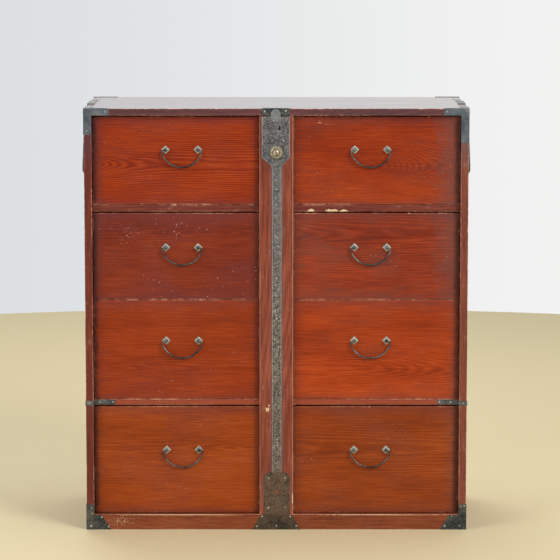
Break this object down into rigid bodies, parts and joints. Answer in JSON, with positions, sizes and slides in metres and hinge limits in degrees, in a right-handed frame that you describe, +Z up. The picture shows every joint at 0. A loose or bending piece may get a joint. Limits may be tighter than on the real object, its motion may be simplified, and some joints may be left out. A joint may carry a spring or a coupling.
{
  "type": "clothing chest",
  "caption": "Wide wooden clothing chest with paired drawers, bail pulls, iron corner fittings, side carrying handles and a removable centre locking bar.",
  "frame": {"origin": "centre of the case's footprint, on the floor", "axes": "+Z up, front towards -Y, +X to the right seen from the front"},
  "size_m": [1.0328, 0.4651, 1.1136],
  "materials": {
    "front_lacquer": "red-brown lacquer over figured wood, worn",
    "case_lacquer": "dark red-brown lacquer, worn at the edges",
    "bar_lacquer": "red-brown lacquer, upright grain",
    "back_wood": "bare aged softwood",
    "plain_wood": "bare aged softwood",
    "drawer_wood": "bare pale wood",
    "dark_iron": "blackened forged iron, brown and green patina",
    "bright_iron": "grey iron, rubbed",
    "lock_iron": "dark iron",
    "aged_brass": "dull aged brass"
  },
  "bodies": {
    "case": {"top_board": "case_lacquer", "right_side": "case_lacquer", "left_side": "case_lacquer", "back_boards": "back_wood", "centre_partition": "plain_wood", "centre_stile": "plain_wood", "base_rails": "case_lacquer", "drawer_rails": "case_lacquer", "dust_boards": "plain_wood", "drawer_guides": "plain_wood", "top_corner_irons": "dark_iron", "lower_corner_irons": "dark_iron", "rail_straps": "dark_iron", "top_centre_plate": "dark_iron", "foot_socket_plate": "dark_iron", "handle_brackets": "dark_iron"},
    "lock_bar": {"bar_board": "bar_lacquer", "bar_head_plate": "dark_iron", "bar_strap": "dark_iron", "bar_foot_plate": "dark_iron", "bar_tongue": "dark_iron", "lock_rosette": "aged_brass", "lock_case": "lock_iron"},
    "bolt": {"lock_bolt": "lock_iron"},
    "button": {"lock_button": "aged_brass"},
    "right_handle": {"right_carrying_handle": "dark_iron"},
    "left_handle": {"left_carrying_handle": "dark_iron"},
    "top_right_drawer": {"top_right_front": "front_lacquer", "top_right_box": "drawer_wood", "top_right_posts": "bright_iron"},
    "top_right_pull": {"top_right_bail": "dark_iron"},
    "top_left_drawer": {"top_left_front": "front_lacquer", "top_left_box": "drawer_wood", "top_left_posts": "bright_iron"},
    "top_left_pull": {"top_left_bail": "dark_iron"},
    "second_right_drawer": {"second_right_front": "front_lacquer", "second_right_box": "drawer_wood", "second_right_posts": "bright_iron"},
    "second_right_pull": {"second_right_bail": "dark_iron"},
    "second_left_drawer": {"second_left_front": "front_lacquer", "second_left_box": "drawer_wood", "second_left_posts": "bright_iron"},
    "second_left_pull": {"second_left_bail": "dark_iron"},
    "third_right_drawer": {"third_right_front": "front_lacquer", "third_right_box": "drawer_wood", "third_right_posts": "bright_iron"},
    "third_right_pull": {"third_right_bail": "dark_iron"},
    "third_left_drawer": {"third_left_front": "front_lacquer", "third_left_box": "drawer_wood", "third_left_posts": "bright_iron"},
    "third_left_pull": {"third_left_bail": "dark_iron"},
    "bottom_right_drawer": {"bottom_right_front": "front_lacquer", "bottom_right_box": "drawer_wood", "bottom_right_posts": "bright_iron"},
    "bottom_right_pull": {"bottom_right_bail": "dark_iron"},
    "bottom_left_drawer": {"bottom_left_front": "front_lacquer", "bottom_left_box": "drawer_wood", "bottom_left_posts": "bright_iron"},
    "bottom_left_pull": {"bottom_left_bail": "dark_iron"}
  },
  "joints": [
    {"name": "bar_lift_off", "type": "slide", "parent": "case", "child": "lock_bar", "axis": [0, -1, 0], "range_m": [0, 0.38]},
    {"name": "button_push", "type": "slide", "parent": "lock_bar", "child": "button", "axis": [0, 1, 0], "range_m": [0, 0.0045]},
    {"name": "bolt_lift", "type": "slide", "parent": "lock_bar", "child": "bolt", "axis": [0, 0, 1], "range_m": [0, 0.00675]},
    {"name": "right_handle_swing", "type": "hinge", "parent": "case", "child": "right_handle", "pos_m": [0.5062, 0, 1.078], "axis": [0, -1, 0], "range_deg": [0, 172]},
    {"name": "left_handle_swing", "type": "hinge", "parent": "case", "child": "left_handle", "pos_m": [-0.5062, 0, 1.078], "axis": [0, 1, 0], "range_deg": [0, 172]},
    {"name": "top_right_drawer_slide", "type": "slide", "parent": "case", "child": "top_right_drawer", "axis": [0, -1, 0], "range_m": [0, 0.33]},
    {"name": "top_right_pull_swing", "type": "hinge", "parent": "top_right_drawer", "child": "top_right_pull", "pos_m": [0.2465, -0.217, 1.00352], "axis": [-1, 0, 0], "range_deg": [0, 175]},
    {"name": "top_left_drawer_slide", "type": "slide", "parent": "case", "child": "top_left_drawer", "axis": [0, -1, 0], "range_m": [0, 0.33]},
    {"name": "top_left_pull_swing", "type": "hinge", "parent": "top_left_drawer", "child": "top_left_pull", "pos_m": [-0.2465, -0.217, 1.00352], "axis": [-1, 0, 0], "range_deg": [0, 175]},
    {"name": "second_right_drawer_slide", "type": "slide", "parent": "case", "child": "second_right_drawer", "axis": [0, -1, 0], "range_m": [0, 0.33]},
    {"name": "second_right_pull_swing", "type": "hinge", "parent": "second_right_drawer", "child": "second_right_pull", "pos_m": [0.2465, -0.217, 0.74753], "axis": [-1, 0, 0], "range_deg": [0, 175]},
    {"name": "second_left_drawer_slide", "type": "slide", "parent": "case", "child": "second_left_drawer", "axis": [0, -1, 0], "range_m": [0, 0.33]},
    {"name": "second_left_pull_swing", "type": "hinge", "parent": "second_left_drawer", "child": "second_left_pull", "pos_m": [-0.2465, -0.217, 0.74753], "axis": [-1, 0, 0], "range_deg": [0, 175]},
    {"name": "third_right_drawer_slide", "type": "slide", "parent": "case", "child": "third_right_drawer", "axis": [0, -1, 0], "range_m": [0, 0.33]},
    {"name": "third_right_pull_swing", "type": "hinge", "parent": "third_right_drawer", "child": "third_right_pull", "pos_m": [0.2465, -0.217, 0.5014], "axis": [-1, 0, 0], "range_deg": [0, 175]},
    {"name": "third_left_drawer_slide", "type": "slide", "parent": "case", "child": "third_left_drawer", "axis": [0, -1, 0], "range_m": [0, 0.33]},
    {"name": "third_left_pull_swing", "type": "hinge", "parent": "third_left_drawer", "child": "third_left_pull", "pos_m": [-0.2465, -0.217, 0.5014], "axis": [-1, 0, 0], "range_deg": [0, 175]},
    {"name": "bottom_right_drawer_slide", "type": "slide", "parent": "case", "child": "bottom_right_drawer", "axis": [0, -1, 0], "range_m": [0, 0.33]},
    {"name": "bottom_right_pull_swing", "type": "hinge", "parent": "bottom_right_drawer", "child": "bottom_right_pull", "pos_m": [0.2465, -0.217, 0.21029], "axis": [-1, 0, 0], "range_deg": [0, 175]},
    {"name": "bottom_left_drawer_slide", "type": "slide", "parent": "case", "child": "bottom_left_drawer", "axis": [0, -1, 0], "range_m": [0, 0.33]},
    {"name": "bottom_left_pull_swing", "type": "hinge", "parent": "bottom_left_drawer", "child": "bottom_left_pull", "pos_m": [-0.2465, -0.217, 0.21029], "axis": [-1, 0, 0], "range_deg": [0, 175]}
  ],
  "couplings": [
    {"joint": "bolt_lift", "follows": "button_push", "ratio": 1.5}
  ]
}
